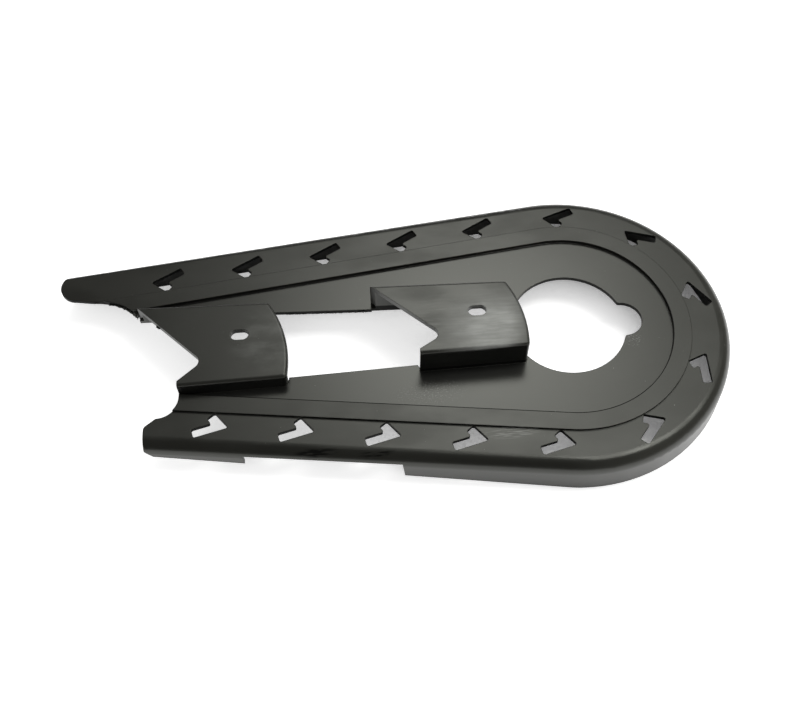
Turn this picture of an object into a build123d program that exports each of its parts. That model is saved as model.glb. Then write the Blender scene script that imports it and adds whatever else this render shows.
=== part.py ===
from build123d import *
import os
from math import cos, radians, sin, tan

# Chain guard of a moped, moulded in one piece. Z is the crank axis, two legs run back
# along -X, the far leg on the +Y side and the near leg on the -Y side. The rim of the
# round end stands on Z = 0. Sizes are in mm and angles in degrees.

# Plan of the shell, counted outwards from the crank axis
HOLE_R = 31.0             # clearance hole round the crank
NOTCH_REACH = 9.3         # round notch in front of that hole
NOTCH_R = 10.5
NOTCH_Y = 0.9
NOTCH_FILLET = 1.5
INNER_R = 55.9            # flat inner plate
BAND_WIDTH = 9.85         # raised band round the plate
EDGE_WIDTH = 21.75        # slotted band outside it, with the rolled edge
LEG_TAPER = 7.46          # each leg leans in by this angle

# Heights and walls
PLATE_Z = 19.7            # top of the inner plate above the foot of the rim
BAND_RISE = 2.0           # raised band above the inner plate
EDGE_RISE = 0.8           # slotted band above the inner plate
SKIN = 2.2                # thickness of the plate and the rim
ROLL_R = 7.4              # rolled outer edge
RIM_DRAFT = 0.4           # the wall opens by this much at the foot
FOOT_LEVEL_X = -5.0       # behind this place the foot of the near rim rises
TIP_DEPTH = 9.0           # rim that is left at the tip of the near leg

# Two bridges over the gap between the legs, with one fixing slot each
FRONT_SLOT_X = -50.5
SLOT_SPACING = 125.7
SLOT_Y = 0.4
SLOT_WIDTH = 6.4
SLOT_TRAVEL = 3.2         # length of the slot beyond its width
FRONT_RISE = 17.8         # top of the front bridge above the inner plate
FRONT_MID_Y = -2.0        # middle of its two walls
REAR_RISE = 9.3
REAR_MID_Y = -3.7
BRIDGE_HALF = 19.9        # half width over the walls at the crank axis
BRIDGE_TAPER = 1.46       # each wall opens to the rear by this angle
BRIDGE_WALL = 2.4
BRIDGE_SKIN = 3.2
BRIDGE_EDGE_R = 1.8       # rounding round the top
BRIDGE_CORNER = 0.4       # the front corners in plan are rounder than the top by this
NOSE_RUN = 25.4           # slot forward to the foremost point
NOSE_OFFSET_Y = -12.0     # foremost point from the middle of the bridge
NOSE_R = 70.0             # round front edge
VEE_RUN = 18.9            # slot back to the corner of the vee
VEE_OFFSET_Y = -11.0      # that corner from the middle of the bridge
VEE_R = 4.5
VEE_STOP = 3.0            # near end of the vee inside the near wall
VEE_DEPTH = 13.0          # corner of the vee back to the end of the near wall
FAR_WALL_REACH = 23.4     # end of the near wall back to the end of the far wall

# Gap in the plate between the bridges
GAP_MID_Y = -1.6
GAP_HALF = 15.2           # half width at the crank axis
GAP_TAPER = 2.15          # each side opens to the rear by this angle

# Ends of the legs, behind the rear bridge
FAR_TIP_RUN = 44.8        # end of the far wall back to the round tip
FAR_TIP_R = 9.2
FAR_TIP_ROLL_R = 2.6      # the rolled edge of the far leg sharpens to this
FAR_TIP_OUT = 0.6         # circle of that tip past the outside of the rim
FAR_NECK_RUN = 27.5       # end of the far wall back to where the inner edge straightens
FAR_NECK_DROP = 1.4       # that place inside the round tip
FAR_NECK_SAG = 3.0        # curve outside its chord
NEAR_TIP_RUN = 17.6       # end of the near wall back to the blunt tip
NEAR_TIP_WIDTH = 11.6
NEAR_TIP_R = 3.0
NEAR_NECK_R = 11.5        # hollow corner between that tip and the near wall
NEAR_NECK_RUN = 2.0

# Stretch of the near rim that is cut away up to the rolled edge
TAB_LENGTH = 49.7         # rim that is left behind it
TAB_CORNER = 4.0          # corner taken off the end of that tab
CUTAWAY_LENGTH = 80.6
CUTAWAY_DROP = 5.2        # cut edge below the slotted band
CUTAWAY_LEAN = 6.0        # the cut ends lean forward by this angle

# Arrow slots in the outer band, with their points towards the far leg
ARROW_WIDTH = 5.0
ARROW_LONG = 10.6         # outer arm behind the inside corner
ARROW_SHORT = 3.8         # inner arm behind the inside corner
ARROW_LONG_ANGLE = 22.0   # outer arm from the line of the row
ARROW_SHORT_ANGLE = 44.0
ARROW_R = 1.0
ARROW_POINT = 6.4         # point ahead of the slot's place in the row
ARROW_POINT_OUT = 1.5     # point outside the row
ROW_INSET = 15.5          # row inside the rim
ROW_MARGIN = 20.0         # row kept clear of the ends of the legs
LEG_PITCH = 44.2
NEAR_START = 3.9          # first place from the front of the near leg
FAR_START = 35.8          # first place from the front of the far leg
END_PITCH = 37.5          # angle between places on the round end
END_START = -61.85

# Values that follow
BAND_R = INNER_R + BAND_WIDTH
RIM_R = BAND_R + EDGE_WIDTH
ROW_R = RIM_R - ROW_INSET
BAND_Z = PLATE_Z + BAND_RISE
EDGE_Z = PLATE_Z + EDGE_RISE
FLOOR_Z = PLATE_Z - SKIN
LEG_ANGLE = 90 + LEG_TAPER
REAR_SLOT_X = FRONT_SLOT_X - SLOT_SPACING
NEAR_WALL_RUN = VEE_RUN + VEE_DEPTH
FAR_WALL_RUN = NEAR_WALL_RUN + FAR_WALL_REACH
FAR_END_X = REAR_SLOT_X - FAR_WALL_RUN - FAR_TIP_RUN
NEAR_END_X = REAR_SLOT_X - NEAR_WALL_RUN - NEAR_TIP_RUN
LEG_RUN = -FAR_END_X / cos(radians(LEG_TAPER))
LAP = SKIN / 2
REACH = 2 * RIM_R


def turned(angle, along=0.0, out=0.0):
    """Point given along and outside the edge that faces a plan angle."""
    a = radians(angle)
    return Vector(out * cos(a) - along * sin(a), out * sin(a) + along * cos(a))


def plan_face(*points):
    """Flat face with straight sides."""
    return make_face(Polyline(*points, close=True))


def slab(face, low, high):
    """Upright solid over a plan face."""
    return extrude(Pos(0, 0, low) * face, high - low)


def shell_section(roll_r):
    """Section of the shell from the inner plate out to the foot of the rim."""
    roll_n = RIM_R - roll_r
    roll_z = EDGE_Z - roll_r
    start_n = INNER_R - LAP
    top = Polyline(
        (start_n, PLATE_Z), (INNER_R, PLATE_Z), (INNER_R, BAND_Z),
        (BAND_R, BAND_Z), (BAND_R, EDGE_Z), (roll_n, EDGE_Z))
    roll = CenterArc((roll_n, roll_z), roll_r, 0, 90)
    wall = Polyline(
        (RIM_R, roll_z), (RIM_R + RIM_DRAFT, 0),
        (RIM_R + RIM_DRAFT - SKIN, 0), (RIM_R - SKIN, roll_z))
    inner_roll = CenterArc((roll_n, roll_z), roll_r - SKIN, 0, 90)
    under = Polyline(
        (roll_n, EDGE_Z - SKIN), (BAND_R - SKIN, EDGE_Z - SKIN), (BAND_R - SKIN, BAND_Z - SKIN),
        (INNER_R + SKIN, BAND_Z - SKIN), (INNER_R + SKIN, FLOOR_Z), (start_n, FLOOR_Z),
        (start_n, PLATE_Z))
    return Plane.XZ * make_face(top + roll + wall + inner_roll + under)


def shell():
    """Round end, both legs and the flat plate between them."""
    far_start = Rot(0, 0, LEG_ANGLE) * shell_section(ROLL_R)
    far_end = Pos(turned(LEG_ANGLE, LEG_RUN)) * Rot(0, 0, LEG_ANGLE) * shell_section(FAR_TIP_ROLL_R)
    near_start = Rot(0, 0, -LEG_ANGLE) * shell_section(ROLL_R)
    body = revolve(near_start, Axis.Z, 2 * LEG_ANGLE)
    body += loft([far_start, far_end], ruled=True)
    body += extrude(near_start, LEG_RUN, turned(-LEG_ANGLE, -1))
    legs = plan_face(
        turned(-LEG_ANGLE, 0, INNER_R), turned(LEG_ANGLE, 0, INNER_R),
        turned(LEG_ANGLE, LEG_RUN, INNER_R), turned(-LEG_ANGLE, -LEG_RUN, INNER_R))
    return body + slab(Circle(INNER_R) + legs, FLOOR_Z, PLATE_Z)


def crank_opening():
    """Crank hole with the round notch in front of it."""
    notch = Pos(HOLE_R + NOTCH_REACH - NOTCH_R, NOTCH_Y) * Circle(NOTCH_R)
    opening = Circle(HOLE_R) + notch
    return fillet(opening.vertices().sort_by(Axis.X)[:2], NOTCH_FILLET)


def bridge_wall(x, mid_y, side, inset=0.0):
    """Point on the outside of a bridge's wall, far side +1 or near side -1."""
    half = BRIDGE_HALF - x * tan(radians(BRIDGE_TAPER)) - inset
    return Vector(x, mid_y + side * half)


def bridge_plan(slot_x, mid_y, inset=0.0):
    """Ground that a bridge covers, round at the front and straight across its back."""
    nose_x = slot_x + NOSE_RUN
    sides = plan_face(
        bridge_wall(nose_x + LAP, mid_y, -1, inset), bridge_wall(nose_x + LAP, mid_y, 1, inset),
        bridge_wall(slot_x - FAR_WALL_RUN, mid_y, 1, inset),
        bridge_wall(slot_x - NEAR_WALL_RUN, mid_y, -1, inset))
    front = Circle(NOSE_R) + Pos(-REACH / 2, 0) * Rectangle(REACH, 2 * NOSE_R)
    ground = sides & Pos(nose_x - NOSE_R, mid_y + NOSE_OFFSET_Y) * front
    return fillet(ground.vertices().sort_by(Axis.X)[-2:], BRIDGE_EDGE_R + BRIDGE_CORNER)


def vee_corner(slot_x, mid_y):
    """Corner of the vee at the back of a bridge, before rounding."""
    return Vector(slot_x - VEE_RUN, mid_y + VEE_OFFSET_Y)


def bridge_vee(slot_x, mid_y):
    """Vee that is cut out of the back of a bridge."""
    far_x = slot_x - FAR_WALL_RUN
    near_x = slot_x - NEAR_WALL_RUN
    vee = plan_face(
        vee_corner(slot_x, mid_y), bridge_wall(far_x, mid_y, 1), bridge_wall(far_x, mid_y, -1),
        bridge_wall(near_x, mid_y, -1), bridge_wall(near_x, mid_y, -1, VEE_STOP))
    return fillet(vee.vertices().sort_by(Axis.X)[-1], VEE_R)


def bridge(slot_x, mid_y, rise):
    """Bridge with two walls, a top and a fixing slot."""
    top_z = PLATE_Z + rise
    block = slab(bridge_plan(slot_x, mid_y), FLOOR_Z, top_z)
    back = Vector(slot_x - (FAR_WALL_RUN + NEAR_WALL_RUN) / 2, mid_y, top_z)
    round_edges = block.edges().group_by(Axis.Z)[-1].sort_by_distance(back)[1:]
    block = fillet(round_edges, BRIDGE_EDGE_R)
    rear_x = slot_x - FAR_WALL_RUN - LAP
    front_x = slot_x + NOSE_RUN + LAP
    hollow = plan_face(
        bridge_wall(front_x, mid_y, -1, BRIDGE_WALL), bridge_wall(front_x, mid_y, 1, BRIDGE_WALL),
        bridge_wall(rear_x, mid_y, 1, BRIDGE_WALL), bridge_wall(rear_x, mid_y, -1, BRIDGE_WALL))
    block -= slab(hollow, FLOOR_Z - LAP, top_z - BRIDGE_SKIN)
    slot = Pos(slot_x, SLOT_Y) * SlotCenterToCenter(SLOT_TRAVEL, SLOT_WIDTH)
    return block - slab(bridge_vee(slot_x, mid_y) + slot, FLOOR_Z - LAP, top_z + LAP)


def gap_edge(x, side):
    """Point on the edge of the gap between the bridges."""
    return Vector(x, GAP_MID_Y + side * (GAP_HALF - x * tan(radians(GAP_TAPER))))


def leg_gap():
    """Gap in the plate between the bridges, with the hollows under them."""
    rear_x = REAR_SLOT_X + NOSE_RUN / 2
    front_x = FRONT_SLOT_X - VEE_RUN
    gap = plan_face(gap_edge(rear_x, -1), gap_edge(front_x, -1), gap_edge(front_x, 1), gap_edge(rear_x, 1))
    gap += bridge_plan(FRONT_SLOT_X, FRONT_MID_Y, BRIDGE_WALL)
    return gap + bridge_plan(REAR_SLOT_X, REAR_MID_Y, BRIDGE_WALL)


def rim_y(x):
    """Outside of the far rim at a place along the leg."""
    a = radians(LEG_TAPER)
    return (RIM_R + x * sin(a)) / cos(a)


def leg_end_waste():
    """Ground behind the ends of the legs."""
    far_x = REAR_SLOT_X - FAR_WALL_RUN
    near_x = REAR_SLOT_X - NEAR_WALL_RUN
    far_corner = bridge_wall(far_x, REAR_MID_Y, 1)
    near_corner = bridge_wall(near_x, REAR_MID_Y, -1)
    tip_x = FAR_END_X + FAR_TIP_R
    tip_y = rim_y(tip_x) - FAR_TIP_R + FAR_TIP_OUT
    tip = CenterArc((tip_x, tip_y), FAR_TIP_R, 90, 180)
    far_neck = Vector(far_x - FAR_NECK_RUN, tip_y - FAR_TIP_R - FAR_NECK_DROP)
    chord = far_corner - far_neck
    sag = Vector(-chord.Y, chord.X).normalized() * FAR_NECK_SAG
    neck = ThreePointArc(far_neck, (far_neck + far_corner) / 2 + sag, far_corner)
    under_bridge = Polyline(
        far_corner, bridge_wall(far_x, REAR_MID_Y, 1, BRIDGE_WALL),
        vee_corner(REAR_SLOT_X, REAR_MID_Y), bridge_wall(near_x, REAR_MID_Y, -1, BRIDGE_WALL),
        near_corner, near_corner - Vector(0, NEAR_NECK_RUN))
    hollow = CenterArc(under_bridge @ 1 - Vector(NEAR_NECK_R, 0), NEAR_NECK_R, 0, -90)
    blunt_y = NEAR_TIP_WIDTH - rim_y(NEAR_END_X)
    outside = Polyline(
        hollow @ 1, (NEAR_END_X, blunt_y), (NEAR_END_X, -REACH), (FAR_END_X - REACH, -REACH),
        (FAR_END_X - REACH, REACH), (tip_x, REACH), tip @ 0)
    waste = make_face(tip + Line(tip @ 1, far_neck) + neck + under_bridge + hollow + outside)
    blunt = waste.vertices().sort_by_distance(Vector(NEAR_END_X, blunt_y))[0]
    return fillet(blunt, NEAR_TIP_R)


def foot_z(x):
    """Height of the foot of the near rim at a place along the leg."""
    return (EDGE_Z - TIP_DEPTH) * (FOOT_LEVEL_X - x) / (FOOT_LEVEL_X - NEAR_END_X)


def foot_waste():
    """What lies under the foot of the near leg, drawn in side view."""
    end_x = NEAR_END_X - LAP
    below = plan_face((FOOT_LEVEL_X, 0), (end_x, foot_z(end_x)), (end_x, -LAP), (FOOT_LEVEL_X, -LAP))
    return extrude(Plane.XZ * below, REACH)


def near_rim_waste():
    """What is cut from the near rim, drawn in side view."""
    edge_z = EDGE_Z - CUTAWAY_DROP
    rear_x = NEAR_END_X + TAB_LENGTH
    front_x = rear_x + CUTAWAY_LENGTH
    lean = edge_z * tan(radians(CUTAWAY_LEAN))
    cutaway = plan_face((rear_x, edge_z), (front_x, edge_z), (front_x + lean, 0), (rear_x + lean, 0))
    corner_x = NEAR_END_X + TAB_CORNER
    corner = plan_face((NEAR_END_X, edge_z), (corner_x, foot_z(corner_x)), (corner_x, 0), (NEAR_END_X, 0))
    return extrude(Plane.XZ * (cutaway + corner), REACH)


def arrow():
    """Arrow slot with its point along +Y and its outer arm on the +X side."""
    half_angle = radians((ARROW_LONG_ANGLE + ARROW_SHORT_ANGLE) / 2)
    head = ARROW_WIDTH / tan(half_angle)
    point = Vector(ARROW_POINT_OUT, ARROW_POINT)
    long_end = point + turned(ARROW_LONG_ANGLE, -head - ARROW_LONG)
    short_end = point + turned(-ARROW_SHORT_ANGLE, -head - ARROW_SHORT)
    inside = point + turned(ARROW_LONG_ANGLE, -head, -ARROW_WIDTH)
    outline = plan_face(
        point, long_end, long_end + turned(ARROW_LONG_ANGLE, 0, -ARROW_WIDTH), inside,
        short_end + turned(-ARROW_SHORT_ANGLE, 0, ARROW_WIDTH), short_end)
    return fillet(outline.vertices(), ARROW_R)


def leg_places(angle, way, start, end_x):
    """Places of the arrow slots along one leg, from its front to a margin at its end."""
    length = (ROW_R * cos(radians(angle)) - end_x) / cos(radians(LEG_TAPER))
    count = int((length - ROW_MARGIN - start) / LEG_PITCH) + 1
    return [Rot(0, 0, angle) * Pos(ROW_R, way * (start + i * LEG_PITCH)) for i in range(count)]


def arrow_places():
    """Places of all the arrow slots, on both legs and round the end."""
    count = int((LEG_ANGLE - END_START) / END_PITCH) + 1
    places = [Rot(0, 0, END_START + i * END_PITCH) * Pos(ROW_R, 0) for i in range(count)]
    places += leg_places(-LEG_ANGLE, -1, NEAR_START, NEAR_END_X)
    return places + leg_places(LEG_ANGLE, 1, FAR_START, FAR_END_X)


def chain_guard():
    """The whole guard as one solid."""
    body = shell()
    body -= slab(crank_opening(), FLOOR_Z - LAP, PLATE_Z + LAP)
    body -= slab(leg_gap(), FLOOR_Z - LAP, BAND_Z + LAP)
    body -= slab(leg_end_waste(), -LAP, BAND_Z + LAP)
    body -= foot_waste()
    body -= near_rim_waste()
    body += bridge(FRONT_SLOT_X, FRONT_MID_Y, FRONT_RISE)
    body += bridge(REAR_SLOT_X, REAR_MID_Y, REAR_RISE)
    for place in arrow_places():
        body -= place * slab(arrow(), EDGE_Z - ROLL_R, BAND_Z + LAP)
    return body


os.makedirs("parts", exist_ok=True)
export_step(chain_guard(), "parts/chain_guard.step")
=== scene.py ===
# %% [markdown]
# # A moped's chain guard
#
# The real guard is one piece of black plastic, pressed out of a mould: a flat plate with a
# rolled rim, two legs and two raised bridges. Its form comes from the CAD frame. This file
# gives it what a camera sees from a step away: softened edges, a worn satin finish, the
# flash that the mould left, and the light it lies in.

# %% Load the frame
from math import cos, pi, radians, sin

import bmesh
import bpy
from mathutils import Matrix, Vector


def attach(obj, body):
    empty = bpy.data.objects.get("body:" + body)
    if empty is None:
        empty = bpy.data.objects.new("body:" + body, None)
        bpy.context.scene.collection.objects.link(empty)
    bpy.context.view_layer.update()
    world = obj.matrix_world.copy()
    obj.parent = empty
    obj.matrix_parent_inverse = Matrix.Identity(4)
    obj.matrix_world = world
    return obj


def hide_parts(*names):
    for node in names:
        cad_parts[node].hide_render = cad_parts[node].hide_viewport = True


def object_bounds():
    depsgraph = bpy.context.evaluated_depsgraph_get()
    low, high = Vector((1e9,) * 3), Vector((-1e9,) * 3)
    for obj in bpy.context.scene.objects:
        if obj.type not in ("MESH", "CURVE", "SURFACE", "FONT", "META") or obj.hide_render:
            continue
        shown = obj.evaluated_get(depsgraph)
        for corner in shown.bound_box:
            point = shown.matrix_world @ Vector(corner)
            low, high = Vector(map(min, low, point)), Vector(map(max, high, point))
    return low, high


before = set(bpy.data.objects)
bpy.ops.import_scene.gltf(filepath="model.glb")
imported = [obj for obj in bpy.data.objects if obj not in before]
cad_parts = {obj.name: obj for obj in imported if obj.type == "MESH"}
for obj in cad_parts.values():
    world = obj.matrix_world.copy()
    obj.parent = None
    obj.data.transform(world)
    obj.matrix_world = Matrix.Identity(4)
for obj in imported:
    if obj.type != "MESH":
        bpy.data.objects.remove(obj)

MM = 0.001
cad_low, cad_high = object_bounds()
guard_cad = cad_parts["chain_guard"]
print("CAD box", [round(v / MM, 1) for v in cad_high - cad_low], "mm")

# %% [markdown]
# ## Camera
#
# The photograph was taken from above and in front, close enough for the round end to look
# larger than the far leg. A camera can be aimed by eye, but then every comparison is by eye
# too. Here its place, angles and lens were worked out from the outline of the round end and
# the legs, so that a point of the CAD frame lands on the pixel where the photograph has it.

# %% Place the camera
CAMERA_PLACE = Vector((-110.48, -307.63, 484.76)) * MM
CAMERA_AZIMUTH = radians(-3.604)
CAMERA_ELEVATION = radians(57.429)
CAMERA_ROLL = radians(-0.680)
CAMERA_LENS = 46.64
SENSOR_WIDTH = 36
NEAREST_SEEN = 10 * MM


def camera_axes(azimuth, elevation, roll):
    """Right, up and back directions of a camera."""
    back = Vector((sin(azimuth) * cos(elevation), -cos(azimuth) * cos(elevation), sin(elevation)))
    right = Vector((cos(azimuth), sin(azimuth), 0))
    up = back.cross(right)
    return cos(roll) * right + sin(roll) * up, cos(roll) * up - sin(roll) * right, back


def place_camera():
    """Camera at the photograph's place."""
    data = bpy.data.cameras.new("camera")
    data.lens = CAMERA_LENS
    data.sensor_width = SENSOR_WIDTH
    data.sensor_fit = "HORIZONTAL"
    data.clip_start = NEAREST_SEEN
    camera = bpy.data.objects.new("camera", data)
    bpy.context.scene.collection.objects.link(camera)
    axes = camera_axes(CAMERA_AZIMUTH, CAMERA_ELEVATION, CAMERA_ROLL)
    turn = Matrix(axes).transposed().to_4x4()
    camera.matrix_world = Matrix.Translation(CAMERA_PLACE) @ turn
    bpy.context.scene.camera = camera
    return camera


camera = place_camera()
print("camera looks along", [round(-v, 3) for v in camera.matrix_world.col[2][:3]])

# %% [markdown]
# ## Node helpers
#
# Materials and the world are small networks of nodes. These helpers add one node, join
# its inputs by name and hand back the output, so that a finish reads like a recipe.


# %% Node helpers
def add_node(tree, kind, inputs=None, **settings):
    """New node with settings, input values and links from other sockets."""
    node = tree.nodes.new(kind)
    for name, value in settings.items():
        setattr(node, name, value)
    for name, value in (inputs or {}).items():
        if isinstance(value, bpy.types.NodeSocket):
            tree.links.new(value, node.inputs[name])
        else:
            node.inputs[name].default_value = value
    return node


def maths(tree, operation, first, second=0.0):
    """Result of one sum on two values."""
    return add_node(tree, "ShaderNodeMath", {0: first, 1: second}, operation=operation).outputs[0]


def vector_maths(tree, operation, first, second=(0, 0, 0)):
    """Result of one sum on two vectors: a number for a length or a dot product, else a vector."""
    node = add_node(tree, "ShaderNodeVectorMath", {0: first, 1: second}, operation=operation)
    return node.outputs["Value" if operation in ("LENGTH", "DOT_PRODUCT") else "Vector"]


def axes_of(tree, vector):
    """X, Y and Z of a vector."""
    return add_node(tree, "ShaderNodeSeparateXYZ", {"Vector": vector}).outputs


def ramp(tree, value, low, high, to_low=0.0, to_high=1.0):
    """Smooth step of a value between two limits."""
    node = add_node(tree, "ShaderNodeMapRange", {
        "Value": value, "From Min": low, "From Max": high, "To Min": to_low, "To Max": to_high})
    node.interpolation_type = "SMOOTHSTEP"
    return node.outputs["Result"]


def mixed(tree, share, first, second):
    """Value that goes from a first to a second one by a share."""
    return add_node(tree, "ShaderNodeMix", {0: share, 2: first, 3: second}).outputs[0]


def between(tree, value, low, high):
    """One where a value lies between two limits, and nought elsewhere."""
    above = maths(tree, "GREATER_THAN", value, low)
    return times(tree, above, maths(tree, "LESS_THAN", value, high))


def times(tree, *factors):
    """Product of several values."""
    product = factors[0]
    for factor in factors[1:]:
        product = maths(tree, "MULTIPLY", product, factor)
    return product


def most(tree, *values):
    """Largest of several values."""
    largest = values[0]
    for value in values[1:]:
        largest = maths(tree, "MAXIMUM", largest, value)
    return largest


def new_material(name):
    """Empty material and its node tree."""
    material = bpy.data.materials.new(name)
    material.use_nodes = True
    material.node_tree.nodes.clear()
    return material, material.node_tree


# %% [markdown]
# ## Floor
#
# The guard lies on a white sheet. It stands on the foot of the round end and of the far
# leg, and the near leg's rim, which is shallower, stays clear of the sheet. White could be
# had with a stronger lamp, but then the plastic would be too light. So the sheet has a little
# light of its own that only the camera and reflections see. A painted shade dims that glow
# where the guard covers the sheet, by how much of the sky a point sees, and most of all under
# the round end. The rest is plain diffuse paper that takes the shadow.

# %% White floor under the foot
FLOOR_SIZE = 6.0
FLOOR_GAP = 0.1 * MM
PAPER_WHITE = (0.85, 0.85, 0.85, 1)
PAPER_GLOW = 0.66
PAPER_SHEEN = 0.66
COVER_REACH = 45 * MM
COVER_SAMPLES = 4
SEEN_COVER = (0.02, 0.28)
MIRROR_COVER = (0.30, 0.55)
LEGS_X, END_X = -190 * MM, 40 * MM
LEGS_OPEN, END_SHUT = 0.16, -0.09


def paper():
    """White paper with a glow that a painted shade dims where the guard covers it."""
    material, tree = new_material("white_paper")
    ray = add_node(tree, "ShaderNodeLightPath").outputs
    sky = add_node(tree, "ShaderNodeAmbientOcclusion", {"Distance": COVER_REACH}, samples=COVER_SAMPLES)
    open_share = sky.outputs["AO"]
    place = add_node(tree, "ShaderNodeTexCoord").outputs["Object"]
    # Painted shade: the glow fades where the guard covers the sheet, more under the round end than
    # under the legs.
    painted_end_shade = ramp(tree, axes_of(tree, place)["X"], LEGS_X, END_X, LEGS_OPEN, END_SHUT)
    clear = ramp(tree, maths(tree, "ADD", open_share, painted_end_shade), *SEEN_COVER)
    seen = times(tree, ray["Is Camera Ray"], PAPER_GLOW, clear)
    mirrored = times(tree, ray["Is Glossy Ray"], PAPER_SHEEN, ramp(tree, open_share, *MIRROR_COVER))
    glow = add_node(tree, "ShaderNodeEmission", {"Strength": maths(tree, "ADD", seen, mirrored)})
    matt = add_node(tree, "ShaderNodeBsdfDiffuse", {"Color": PAPER_WHITE})
    both = add_node(tree, "ShaderNodeAddShader", {0: glow.outputs[0], 1: matt.outputs[0]})
    add_node(tree, "ShaderNodeOutputMaterial", {"Surface": both.outputs[0]})
    return material


def lay_floor():
    """Sheet just under the guard's foot."""
    half = FLOOR_SIZE / 2
    mesh = bpy.data.meshes.new("floor")
    corners = [(-half, -half), (half, -half), (half, half), (-half, half)]
    mesh.from_pydata([(x, y, cad_low.z - FLOOR_GAP) for x, y in corners], [], [(0, 1, 2, 3)])
    mesh.materials.append(paper())
    floor = bpy.data.objects.new("floor", mesh)
    bpy.context.scene.collection.objects.link(floor)
    return floor


floor = lay_floor()
print("floor at", round(floor.data.vertices[0].co.z / MM, 1), "mm")

# %% [markdown]
# ## Light
#
# Black plastic has almost no colour of its own, so its look is what it mirrors. In the
# photograph the flat plates mirror a soft light behind the guard, and the start of the
# rolled edge a smaller one over its right end. The room is dim and a little warm, and lighter
# on the right. A real studio would do this with two soft boxes and a white card, and so does
# this one: two lamps, and a world that is lighter on one side.

# %% Lamps and world
WHITE = (1, 1, 1, 1)
LAMP_COLOUR = (1.0, 1.0, 0.975)
MAIN_PLACE, MAIN_SIZE, MAIN_RADIANCE = Vector((0.05, 0.57, 0.88)), (0.86, 0.80), 5.7
TOP_PLACE, TOP_SIZE, TOP_RADIANCE = Vector((0.36, 0.07, 0.88)), (0.56, 0.26), 7.6
BOX_MIDDLE, BOX_HALF, BOX_RIM = (0.5, 0.5, 0), 0.5, 0.04
ROOM_LIGHT = 0.50
ROOM_DIM, ROOM_RIGHT = 0.18, 0.48
RIGHT_FROM, RIGHT_TO = 0.05, 0.75
ROOM_COLOUR = (1.0, 0.985, 0.88, 1)


def fade_lamp(data):
    """Lets a soft box fade from its middle to its rim, as a lit cloth does."""
    data.use_nodes = True
    tree = data.node_tree
    tree.nodes.clear()
    spread = add_node(tree, "ShaderNodeNewGeometry").outputs["Parametric"]
    away = vector_maths(tree, "SUBTRACT", spread, BOX_MIDDLE)
    strength = ramp(tree, vector_maths(tree, "LENGTH", away), 0, BOX_HALF, 1.0, BOX_RIM)
    cloth = add_node(tree, "ShaderNodeEmission", {"Color": WHITE, "Strength": strength})
    add_node(tree, "ShaderNodeOutputLight", {"Surface": cloth.outputs[0]})


def hang_lamp(name, place, size, radiance):
    """Soft box at a place, facing straight down."""
    data = bpy.data.lights.new(name, "AREA")
    data.shape = "RECTANGLE"
    data.size, data.size_y = size
    data.energy = radiance * pi * size[0] * size[1]
    data.color = LAMP_COLOUR
    box = bpy.data.objects.new(name, data)
    box.location = place
    box.visible_camera = False
    bpy.context.scene.collection.objects.link(box)
    print(name, round(data.energy, 2), "W")
    return data


def light_room():
    """Dim room, lighter on the right, that the camera sees as white."""
    world = bpy.data.worlds.new("room")
    world.use_nodes = True
    tree = world.node_tree
    tree.nodes.clear()
    ray = add_node(tree, "ShaderNodeLightPath").outputs
    way = add_node(tree, "ShaderNodeTexCoord").outputs["Generated"]
    mirrored = ramp(tree, axes_of(tree, way)["X"], RIGHT_FROM, RIGHT_TO, ROOM_DIM, ROOM_RIGHT)
    room = add_node(tree, "ShaderNodeBackground", {"Color": ROOM_COLOUR, "Strength": mirrored})
    fill = ramp(tree, ray["Is Camera Ray"], 0, 1, ROOM_LIGHT, 1.0)
    white = add_node(tree, "ShaderNodeBackground", {"Color": WHITE, "Strength": fill})
    seen = add_node(tree, "ShaderNodeMixShader", {
        0: ray["Is Glossy Ray"], 1: white.outputs[0], 2: room.outputs[0]})
    add_node(tree, "ShaderNodeOutputWorld", {"Surface": seen.outputs[0]})
    bpy.context.scene.world = world


fade_lamp(hang_lamp("main_light", MAIN_PLACE, MAIN_SIZE, MAIN_RADIANCE))
hang_lamp("top_light", TOP_PLACE, TOP_SIZE, TOP_RADIANCE)
light_room()
bpy.context.scene.view_settings.view_transform = "Standard"

# %% [markdown]
# ## Recipes for marks
#
# The guard has been handled: the tall bridge's top is rubbed hazy, the plate has pale scuffs,
# dust sits in specks, and the near roll has dark rub marks. The same recipes also paint a
# sheen on the tall bridge's top and highlights along the bridges' edges. Each mark could be
# painted by hand on an image, but an image is tied to one size and one unwrapping. Here a
# mark is a small recipe on the object's own coordinates: a soft spot, a cloud or a speck.

# %% Spots, clouds and specks
CLOUD_DETAIL = 4


def cloud(tree, place, grain, low, high, stretch=(1, 1, 1)):
    """Cloudy mask with blotches of about a given size, stretched along an axis."""
    scaled = vector_maths(tree, "MULTIPLY", place, [1 / (grain * length) for length in stretch])
    noise = add_node(tree, "ShaderNodeTexNoise", {
        "Vector": scaled, "Scale": 1.0, "Detail": CLOUD_DETAIL})
    return ramp(tree, noise.outputs[0], low, high)


def spot(tree, place, middle, reach, solid):
    """Soft spot: its middle and half sizes along X, Y and Z in millimetres, and its solid share."""
    away = vector_maths(tree, "SUBTRACT", place, Vector(middle) * MM)
    shrunk = vector_maths(tree, "DIVIDE", away, Vector(reach) * MM)
    return ramp(tree, vector_maths(tree, "LENGTH", shrunk), solid, 1.0, 1.0, 0.0)


def specks(tree, place, spacing, size, share):
    """Round specks: their spacing and size, and the share of places that have one."""
    cells = add_node(tree, "ShaderNodeTexVoronoi", {"Vector": place, "Scale": 1 / spacing}).outputs
    chance = axes_of(tree, cells["Color"])["X"]
    radius = 0.5 * size / spacing
    dot = ramp(tree, cells["Distance"], 0.5 * radius, radius, 1.0, 0.0)
    return times(tree, dot, maths(tree, "LESS_THAN", chance, share))
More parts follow.
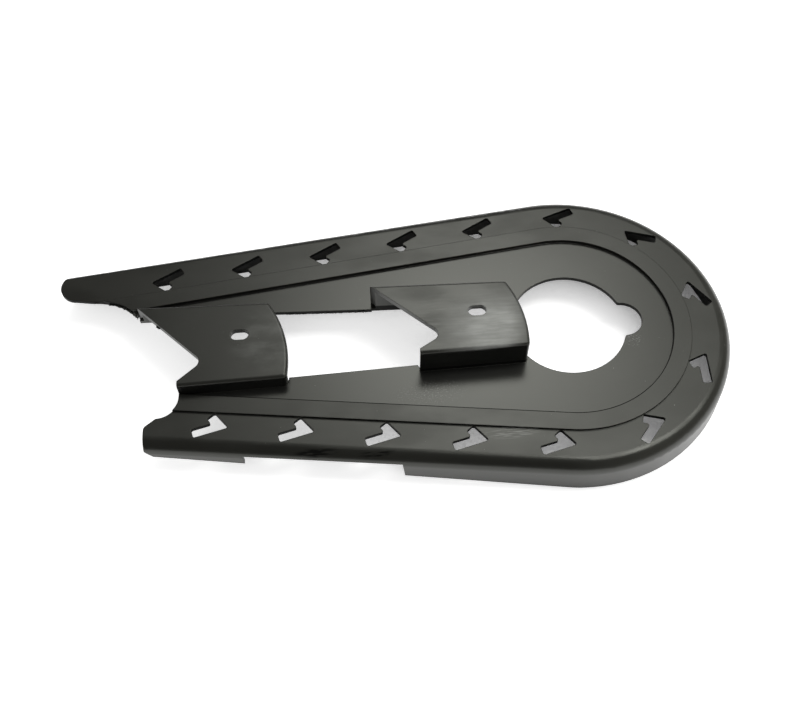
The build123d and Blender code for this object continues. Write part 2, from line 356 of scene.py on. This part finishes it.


# %% [markdown]
# ## Rubbed and dusty places
#
# Rubbing leaves pale marks where things touch the guard: on the bridges' tops, on the plate
# below the tall bridge's wall, on the near band and beside the notch. On the tall bridge's top
# the pale haze is also a painted sheen, lighter towards its round edge. One cloud over the
# whole guard would be simpler, but wear has its places. So each mark is a spot, which says
# where, times a cloud, which says how uneven, times how pale it is at most.

# %% Hazy bridge tops with painted sheen
TALL_TOP = (-57, -6, 38), (36, 34, 4), 0.6
TALL_NOSE = (-37, -12, 38), (44, 32, 8), 0.2
TALL_VEE = (-72, -4, 38), (20, 22, 8), 0.0
LOW_TOP = (-160, -4, 29), (26, 24, 5), 0.3
STREAKS = 1.8 * MM, 0.35, 0.80, (9, 1, 1)
PATCHES = 6 * MM, 0.30, 0.75, (2, 1, 1)
HAZE_EVEN, HAZE_STREAKED, HAZE_PATCHY = 0.48, 0.35, 0.35
VEE_PALE, LOW_PALE = 0.35, 0.16


def bridge_haze_and_sheen(tree, place):
    """Rubbed bridge tops with a painted sheen: the tall one is lighter towards its round edge and
    streaked by the vee.
    """
    streaks = cloud(tree, place, *STREAKS)
    patches = cloud(tree, place, *PATCHES)
    uneven = maths(tree, "ADD", times(tree, streaks, HAZE_STREAKED), times(tree, patches, HAZE_PATCHY))
    haze = maths(tree, "ADD", HAZE_EVEN, uneven)
    # Rubbing and painted sheen on the tall top: paler towards the round edge and along the vee's
    # streaks.
    by_nose = times(tree, spot(tree, place, *TALL_NOSE), haze)
    by_vee = times(tree, spot(tree, place, *TALL_VEE), streaks, VEE_PALE)
    tall = times(tree, spot(tree, place, *TALL_TOP), most(tree, by_nose, by_vee))
    low = times(tree, spot(tree, place, *LOW_TOP), patches, LOW_PALE)
    return most(tree, tall, low)


# %% Scuffs, dust and painted edge highlights
BELOW_WALL = (-77, -37, 20), (24, 10, 6), 0.0
NEAR_BAND = (-40, -64, 20), (19, 4.5, 4), 0.3
BY_NOTCH = (33, -13, 20), (7, 6, 4), 0.2
FINE_SCUFFS = 0.7 * MM, 0.52, 0.72, (1.5, 1, 1)
LONG_SCUFFS = 0.55 * MM, 0.44, 0.66, (12, 1, 1)
SMUDGES = 26 * MM, 0.45, 0.9, (1.6, 1, 1)
WALL_PALE, BAND_PALE, NOTCH_PALE, SMUDGE_PALE = 0.55, 0.5, 0.6, 0.03
FINE_DUST = 2.6 * MM, 0.30 * MM, 0.16
COARSE_DUST = 9 * MM, 0.60 * MM, 0.16
DUST_PALE = 0.8
# Painted edge highlight along the bridges: where it shows, how sharp and how pale.
EDGE_TURN = (0.80, 0.98)
EDGE_PATCHES = 5 * MM, 0.42, 0.7
EDGE_PALE = 0.14
BRIDGES_FROM, BRIDGES_TO = 23 * MM, 27 * MM


def plate_scuffs(tree, place):
    """Pale scuffs and smudges on the plate and the bands."""
    fine = cloud(tree, place, *FINE_SCUFFS)
    long = cloud(tree, place, *LONG_SCUFFS)
    below_wall = times(tree, spot(tree, place, *BELOW_WALL), fine, WALL_PALE)
    near_band = times(tree, spot(tree, place, *NEAR_BAND), long, BAND_PALE)
    by_notch = times(tree, spot(tree, place, *BY_NOTCH), fine, NOTCH_PALE)
    smudges = times(tree, cloud(tree, place, *SMUDGES), SMUDGE_PALE)
    return most(tree, below_wall, near_band, by_notch, smudges)


def dust(tree, place):
    """Dust in two sizes."""
    fine = specks(tree, place, *FINE_DUST)
    coarse = specks(tree, place, *COARSE_DUST)
    return times(tree, most(tree, fine, coarse), DUST_PALE)


def painted_edge_highlight(tree, place, soft):
    """Painted highlight: a thin light line along the bridges' edges, where the softened normal leaves
    the face.
    """
    flat = add_node(tree, "ShaderNodeNewGeometry").outputs["Normal"]
    edge = ramp(tree, vector_maths(tree, "DOT_PRODUCT", soft, flat), *EDGE_TURN, 1.0, 0.0)
    bridges = ramp(tree, axes_of(tree, place)["Z"], BRIDGES_FROM, BRIDGES_TO)
    return times(tree, edge, bridges, cloud(tree, place, *EDGE_PATCHES), EDGE_PALE)


# %% [markdown]
# ## Places without gloss
#
# Some places mirror nothing: the sheared walls of the slots and of the crank opening, a
# painted shade line inside the raised band at its step, a dark line along the foot of the rim
# and two rub marks on the near roll. They could be painted black, but the plastic is black
# already. What they lack is gloss, so a mask takes it away there. It is worked out from how
# far out a point lies in plan, which follows the round end and both legs as the bands do.

# %% Matt places
LEG_TAPER = radians(7.46)
BAND_REACH = 55.9 * MM
SLOTS_REACH, ROLL_REACH = BAND_REACH + 3 * MM, 82 * MM
OPENING_REACH = BAND_REACH - 10 * MM
WALLS_LOW, WALLS_HIGH = 17 * MM, 22 * MM
UPRIGHT = 0.3
PLATE_LEVEL = 20.1 * MM
LINE_WIDTH = 0.55 * MM
LINE_FADE = 30 * MM
FOOT_LEVEL_X = -5 * MM
FOOT_SLOPE = 11.5 / 220.7
LEFT_RUB = (-138, -67.2, 18.5), (16, 3.0, 4), 0.3
RIGHT_RUB = (-107, -70.0, 18.5), (13, 2.6, 4), 0.3
RUB_STREAKS = 1.2 * MM, 0.35, 0.6, (8, 1, 1)


def plan_reach(tree, place):
    """Distance outwards in plan, round the crank axis and straight along both legs."""
    flat = vector_maths(tree, "MULTIPLY", place, (1, 1, 0))
    axes = axes_of(tree, flat)
    side = maths(tree, "ABSOLUTE", axes["Y"])
    folded = add_node(tree, "ShaderNodeCombineXYZ", {"X": axes["X"], "Y": side}).outputs[0]
    out = vector_maths(tree, "DOT_PRODUCT", folded, (-sin(LEG_TAPER), cos(LEG_TAPER), 0))
    along = vector_maths(tree, "DOT_PRODUCT", folded, (-cos(LEG_TAPER), -sin(LEG_TAPER), 0))
    on_leg = maths(tree, "GREATER_THAN", along, 0.0)
    return mixed(tree, on_leg, vector_maths(tree, "LENGTH", flat), out)


def sheared_walls(tree, place, reach):
    """Walls of the slots and of the crank opening."""
    flat = add_node(tree, "ShaderNodeNewGeometry").outputs["True Normal"]
    slope = maths(tree, "ABSOLUTE", axes_of(tree, flat)["Z"])
    upright = maths(tree, "LESS_THAN", slope, UPRIGHT)
    level = between(tree, axes_of(tree, place)["Z"], WALLS_LOW, WALLS_HIGH)
    slots = between(tree, reach, SLOTS_REACH, ROLL_REACH)
    opening = maths(tree, "LESS_THAN", reach, OPENING_REACH)
    return times(tree, upright, level, most(tree, slots, opening))


def band_shade_line(tree, place, reach):
    """Painted shade line inside the raised band, at its step, on the near side and round the end."""
    axes = axes_of(tree, place)
    aside = maths(tree, "ABSOLUTE", maths(tree, "SUBTRACT", reach, BAND_REACH))
    line = ramp(tree, aside, 0.5 * LINE_WIDTH, LINE_WIDTH, 1.0, 0.0)
    near = ramp(tree, axes["Y"], 0, LINE_FADE, 1.0, 0.0)
    return times(tree, line, near, maths(tree, "GREATER_THAN", axes["Z"], PLATE_LEVEL))


def foot_line(tree, place):
    """Dark matt line along the foot of the rim, which rises along the near leg."""
    axes = axes_of(tree, place)
    behind = maths(tree, "MAXIMUM", maths(tree, "SUBTRACT", FOOT_LEVEL_X, axes["X"]), 0.0)
    near = maths(tree, "LESS_THAN", axes["Y"], 0.0)
    above = maths(tree, "SUBTRACT", axes["Z"], times(tree, behind, near, FOOT_SLOPE))
    return ramp(tree, above, 0.5 * LINE_WIDTH, 1.5 * LINE_WIDTH, 1.0, 0.0)


def rubbed_roll(tree, place):
    """Two dark rub marks on the near roll."""
    marks = most(tree, spot(tree, place, *LEFT_RUB), spot(tree, place, *RIGHT_RUB))
    return times(tree, marks, cloud(tree, place, *RUB_STREAKS))


def matt_places(tree, place):
    """Everywhere that the gloss is gone."""
    reach = plan_reach(tree, place)
    return most(tree, sheared_walls(tree, place, reach), band_shade_line(tree, place, reach),
                foot_line(tree, place), rubbed_roll(tree, place))


# %% [markdown]
# ## Moulded plastic
#
# The mould gives the plastic a fine, even grain and a satin gloss. Rubbing breaks
# the gloss and lightens it. So one value, wear and painted light together, mixes the black with
# a pale grey and makes it rougher at the same time: besides the real rubbing, scuffs and dust
# it holds the painted sheen on the tall bridge's top and the painted highlights along the
# bridges' edges. The matt places lose their specular level. Moulded edges are never quite
# sharp: the Bevel node rounds the shading over a little more than half a millimetre, where a
# real edge catches its thin line of light.

# %% Worn satin plastic
SOFT_EDGE, EDGE_SAMPLES = 0.6 * MM, 4
BLACK = (0.004, 0.004, 0.0038, 1)
PALE_WEAR_AND_LIGHT = (0.260, 0.265, 0.255, 1)
GLOSS_INDEX = 1.6
GLOSS_PATCHES = 18 * MM, 0.3, 0.7, (2, 1, 1)
SATIN = (0.31, 0.40)
POLISHED = 0.28
RUBBED_ROUGHNESS = 0.5
GLOSS_LEVEL, MATT_LEVEL = 0.5, 0.05
GLOSS_TINT = (0.985, 1.0, 0.93, 1)
GRAIN_SIZE, GRAIN_DETAIL = 0.45 * MM, 2
GRAIN_DEPTH, GRAIN_STRENGTH = 0.012 * MM, 0.35


def moulded_plastic():
    """Satin black plastic with its wear."""
    material, tree = new_material("guard_plastic_worn")
    place = add_node(tree, "ShaderNodeTexCoord").outputs["Object"]
    soft = add_node(tree, "ShaderNodeBevel", {"Radius": SOFT_EDGE}, samples=EDGE_SAMPLES).outputs[0]
    # Real rubbing, scuffs and dust, together with the painted sheen and painted edge highlights.
    wear_and_painted_light = most(tree, bridge_haze_and_sheen(tree, place), plate_scuffs(tree, place), dust(tree, place),
                painted_edge_highlight(tree, place, soft))
    colour = add_node(tree, "ShaderNodeMix", {0: wear_and_painted_light, 6: BLACK, 7: PALE_WEAR_AND_LIGHT}, data_type="RGBA")
    satin = ramp(tree, cloud(tree, place, *GLOSS_PATCHES), 0, 1, *SATIN)
    bands = maths(tree, "GREATER_THAN", axes_of(tree, place)["Z"], PLATE_LEVEL)
    gloss = mixed(tree, bands, POLISHED, satin)
    level = ramp(tree, matt_places(tree, place), 0, 1, GLOSS_LEVEL, MATT_LEVEL)
    grain = add_node(tree, "ShaderNodeTexNoise", {
        "Vector": place, "Scale": 1 / GRAIN_SIZE, "Detail": GRAIN_DETAIL})
    bump = add_node(tree, "ShaderNodeBump", {
        "Height": grain.outputs[0], "Strength": GRAIN_STRENGTH, "Distance": GRAIN_DEPTH,
        "Normal": soft})
    skin = add_node(tree, "ShaderNodeBsdfPrincipled", {
        "Base Color": colour.outputs[2], "Roughness": mixed(tree, wear_and_painted_light, gloss, RUBBED_ROUGHNESS),
        "IOR": GLOSS_INDEX, "Specular IOR Level": level, "Specular Tint": GLOSS_TINT,
        "Normal": bump.outputs[0]})
    add_node(tree, "ShaderNodeOutputMaterial", {"Surface": skin.outputs[0]})
    return material


plastic = moulded_plastic()
print("material", plastic.name, "with", len(plastic.node_tree.nodes), "nodes")

# %% [markdown]
# ## The guard's mesh
#
# The CAD solid arrives as loose triangles. A copy is welded into one closed skin and stands
# for the CAD node. Smooth shading would blend the normals of all faces at a point, and the
# flat plate would go dark beside every slot. So each corner of a face takes the normal of the
# largest flat area that it runs into without a sharp edge between, and only the
# rounds are blended.

# %% Welded copy with flat areas that shade flat
WELD = 0.001 * MM
SAME_PLANE = cos(radians(1))
SHARP_ANGLE = radians(30)


def flat_areas(form):
    """Area of the flat region that each face belongs to, by face index."""
    area_of = {}
    for first in form.faces:
        if first.index in area_of:
            continue
        region, waiting = {first}, [first]
        while waiting:
            for edge in waiting.pop().edges:
                for near in edge.link_faces:
                    if near not in region and near.normal.dot(first.normal) > SAME_PLANE:
                        region.add(near)
                        waiting.append(near)
        total = sum(face.calc_area() for face in region)
        area_of.update((face.index, total) for face in region)
    return area_of


def smooth_fan(face, point):
    """Faces at a point that join a face with no sharp edge between."""
    fan, waiting = {face}, [face]
    while waiting:
        for edge in waiting.pop().edges:
            if point in edge.verts and edge.calc_face_angle() < SHARP_ANGLE:
                fresh = set(edge.link_faces) - fan
                fan |= fresh
                waiting.extend(fresh)
    return fan


def dress_guard():
    """Closed copy of the CAD solid, with its normals set by flat area."""
    form = bmesh.new()
    form.from_mesh(guard_cad.data)
    bmesh.ops.remove_doubles(form, verts=form.verts, dist=WELD)
    form.normal_update()
    form.faces.index_update()
    area_of = flat_areas(form)
    normals = []
    for face in form.faces:
        for corner in face.loops:
            fan = smooth_fan(face, corner.vert)
            pull = sum((area_of[near.index] ** 2 * near.normal for near in fan), Vector())
            normals.append(pull.normalized())
    mesh = bpy.data.meshes.new("guard")
    form.to_mesh(mesh)
    form.free()
    mesh.shade_smooth()
    mesh.normals_split_custom_set(normals)
    mesh.materials.append(plastic)
    piece = bpy.data.objects.new("guard", mesh)
    bpy.context.scene.collection.objects.link(piece)
    return piece


guard = dress_guard()
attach(guard, "root")
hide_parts("chain_guard")
print("guard", len(guard.data.polygons), "triangles")

# %% [markdown]
# ## Mould flash
#
# Where the two halves of the mould met, plastic crept into the joint and was torn off:
# ragged bits along the inner edge of the far leg, a nub at its tip, and burrs on the gap's
# edge and the rear bridge. They could be modelled one by one, but each mould leaves them
# anew. So a node tree scatters flattened lumps along a curve, with a seed that keeps them
# where they are, and the same tree makes every run.

# %% Node tree that scatters lumps
FLASH_INPUTS = {
    "Start": "NodeSocketVector", "Middle": "NodeSocketVector", "End": "NodeSocketVector",
    "Lumps": "NodeSocketInt", "Lump size": "NodeSocketFloat", "Seed": "NodeSocketInt",
    "Finish": "NodeSocketMaterial"}
LUMP_ROUNDS = 2
LEAST_TURN, MOST_TURN = (0, 0, -pi), (0.5, 0.5, pi)
LEAST_STRETCH, MOST_STRETCH = (0.7, 0.5, 0.25), (1.5, 1.0, 0.6)


def flash_tree():
    """Node tree that lays flattened lumps along a curve through three places."""
    tree = bpy.data.node_groups.new("mould_flash", "GeometryNodeTree")
    tree.interface.new_socket("Geometry", in_out="OUTPUT", socket_type="NodeSocketGeometry")
    for name, kind in FLASH_INPUTS.items():
        tree.interface.new_socket(name, in_out="INPUT", socket_type=kind)
    given = add_node(tree, "NodeGroupInput").outputs
    path = add_node(tree, "GeometryNodeCurveArc", {
        "Start": given["Start"], "Middle": given["Middle"], "End": given["End"]}, mode="POINTS")
    points = add_node(tree, "GeometryNodeCurveToPoints", {
        "Curve": path.outputs["Curve"], "Count": given["Lumps"]}, mode="COUNT")
    lump = add_node(tree, "GeometryNodeMeshIcoSphere", {
        "Radius": given["Lump size"], "Subdivisions": LUMP_ROUNDS})
    turn = add_node(tree, "FunctionNodeRandomValue", {
        "Min": LEAST_TURN, "Max": MOST_TURN, "Seed": given["Seed"]}, data_type="FLOAT_VECTOR")
    stretch = add_node(tree, "FunctionNodeRandomValue", {
        "Min": LEAST_STRETCH, "Max": MOST_STRETCH, "Seed": given["Seed"]}, data_type="FLOAT_VECTOR")
    laid = add_node(tree, "GeometryNodeInstanceOnPoints", {
        "Points": points.outputs["Points"], "Instance": lump.outputs["Mesh"],
        "Rotation": turn.outputs["Value"], "Scale": stretch.outputs["Value"]})
    whole = add_node(tree, "GeometryNodeRealizeInstances", {"Geometry": laid.outputs[0]})
    dressed = add_node(tree, "GeometryNodeSetMaterial", {
        "Geometry": whole.outputs[0], "Material": given["Finish"]})
    add_node(tree, "NodeGroupOutput", {"Geometry": dressed.outputs[0]})
    return tree


# %% Runs of flash along the mould's joint
# Start, middle and end in millimetres, number of lumps, their size in millimetres, and seed.
FLASH_RUNS = {
    "leg_flash": ((-249, 32.5, 18.9), (-243.6, 30.2, 20.0), (-233.1, 22.8, 18.2), 34, 0.75, 3),
    "tip_nub": ((-257, 34.1, 18.8), (-256.3, 33.9, 18.9), (-255.6, 33.9, 18.8), 3, 0.8, 5),
    "gap_flash": ((-152, 19.2, 17.7), (-129, 18.3, 17.7), (-106, 17.5, 17.7), 60, 0.4, 8),
    "gap_burr": ((-112, 17.7, 18.6), (-111, 17.5, 18.6), (-110, 17.5, 18.6), 3, 0.6, 4),
    "vee_burr": ((-220.6, 10.7, 26.4), (-219.9, 10.0, 26.3), (-219.2, 9.2, 26.4), 4, 0.6, 2),
}


def flash_run(tree, name, start, middle, end, lumps, size, seed):
    """Plain mesh of one run of flash."""
    piece = bpy.data.objects.new(name, bpy.data.meshes.new(name))
    bpy.context.scene.collection.objects.link(piece)
    scatter = piece.modifiers.new("flash", "NODES")
    scatter.node_group = tree
    wanted = {"Start": Vector(start) * MM, "Middle": Vector(middle) * MM, "End": Vector(end) * MM,
              "Lumps": lumps, "Lump size": size * MM, "Seed": seed, "Finish": plastic}
    for socket in tree.interface.items_tree:
        if socket.name in wanted:
            scatter[socket.identifier] = wanted[socket.name]
    graph = bpy.context.evaluated_depsgraph_get()
    mesh = bpy.data.meshes.new_from_object(piece.evaluated_get(graph), depsgraph=graph)
    piece.modifiers.remove(scatter)
    piece.data = mesh
    mesh.shade_smooth()
    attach(piece, "root")
    print(name, len(mesh.polygons), "triangles")


flash = flash_tree()
for run_name, run in FLASH_RUNS.items():
    flash_run(flash, run_name, *run)
